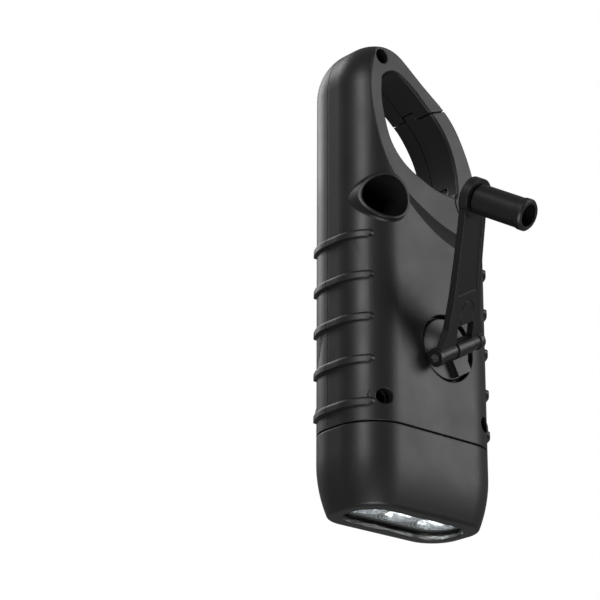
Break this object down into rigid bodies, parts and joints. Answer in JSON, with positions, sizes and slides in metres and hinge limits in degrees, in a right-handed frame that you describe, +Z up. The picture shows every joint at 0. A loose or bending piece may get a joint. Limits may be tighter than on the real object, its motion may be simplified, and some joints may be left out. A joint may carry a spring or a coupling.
{
  "type": "hand crank flashlight",
  "caption": "Flat black hand-held torch with a lamp head, a hook with a sprung gate, a solar panel on the front and a folding winding crank on the back.",
  "frame": {"origin": "centre of the lamp window in the plane of the head's rim", "axes": "+Z up the long axis from the lamp to the hook, -Y the solar side, +Y the crank side, -X the gate side"},
  "size_m": [0.0446, 0.0626, 0.117],
  "materials": {
    "shell_plastic": "fine moulded grain, black",
    "head_plastic": "fine moulded grain, black",
    "crank_plastic": "satin moulded black",
    "button_rubber": "soft matt black",
    "seal_rubber": "matt black",
    "lens_clear": "clear moulded, polished",
    "mirror_chrome": "vacuum metallised, bright",
    "mask_black": "matt black",
    "led_resin": "clear water-white dome",
    "bezel_plastic": "semi-gloss black",
    "solar_cell_face": "dark brown amorphous film under clear coat",
    "steel": "drawn bright steel",
    "screw_steel": "black oxide",
    "gear_white": "natural acetal",
    "pinion_brass": "cut brass",
    "magnet_dark": "ferrite, ground",
    "coil_copper": "enamelled copper wire",
    "can_steel": "zinc plated",
    "board_green": "solder mask",
    "battery_wrap": "shrink film over nickel cups",
    "switch_black": "moulded"
  },
  "bodies": {
    "handle": {"front_shell": "shell_plastic", "rear_shell": "shell_plastic", "head_cap": "head_plastic", "head_seal": "seal_rubber", "lens": "lens_clear", "lamp_mask": "mask_black", "reflector": "mirror_chrome", "led_board": "board_green", "leds": "led_resin", "solar_bezel": "bezel_plastic", "solar_cell": "solar_cell_face", "gate_pin": "steel", "gate_spring": "steel", "gear_plate": "steel", "idler_axle": "steel", "generator_can": "can_steel", "stator_coil": "coil_copper", "battery_cells": "battery_wrap", "battery_sleeve": "mask_black", "circuit_board": "board_green", "tact_switch": "switch_black", "case_screws": "screw_steel"},
    "gate": {"gate": "shell_plastic"},
    "crank": {"crank_hub": "crank_plastic", "crank_gear": "gear_white", "crank_screw": "steel", "hinge_pin": "steel"},
    "arm": {"crank_arm": "crank_plastic", "knob_screw": "steel"},
    "knob": {"knob": "crank_plastic"},
    "idler": {"idler_gear": "gear_white"},
    "rotor": {"rotor_shaft": "steel", "rotor_pinion": "pinion_brass", "rotor_magnet": "magnet_dark"},
    "button": {"switch_button": "button_rubber"}
  },
  "joints": [
    {"name": "gate_pivot", "type": "hinge", "parent": "handle", "child": "gate", "pos_m": [-0.0189, 0, 0.083], "axis": [0, 1, 0], "range_deg": [0, 26], "stiffness_Nm_per_rad": 0.02, "springref_deg": -20.05},
    {"name": "crank_spin", "type": "hinge", "parent": "handle", "child": "crank", "pos_m": [-0.0032, 0.009, 0.0403], "axis": [0, 1, 0], "continuous": true},
    {"name": "crank_fold", "type": "hinge", "parent": "crank", "child": "arm", "pos_m": [-0.00359, 0.0148, 0.0396], "axis": [-0.8735, 0, 0.4868], "range_deg": [-34, 121]},
    {"name": "knob_spin", "type": "hinge", "parent": "arm", "child": "knob", "pos_m": [0.01064, 0.03549, 0.06679], "axis": [-0.2722, 0.829, -0.4885], "continuous": true},
    {"name": "idler_spin", "type": "hinge", "parent": "handle", "child": "idler", "pos_m": [0.00923, 0.0045, 0.05073], "axis": [0, 1, 0], "continuous": true},
    {"name": "rotor_spin", "type": "hinge", "parent": "handle", "child": "rotor", "pos_m": [0.00923, 0.0045, 0.0381], "axis": [0, 1, 0], "continuous": true},
    {"name": "button_press", "type": "slide", "parent": "handle", "child": "button", "axis": [1, 0, 0], "range_m": [0, 0.0008], "stiffness_N_per_m": 400, "springref_m": -0.001}
  ],
  "couplings": [
    {"joint": "idler_spin", "follows": "crank_spin", "ratio": -3.5},
    {"joint": "rotor_spin", "follows": "crank_spin", "ratio": 8.75}
  ]
}
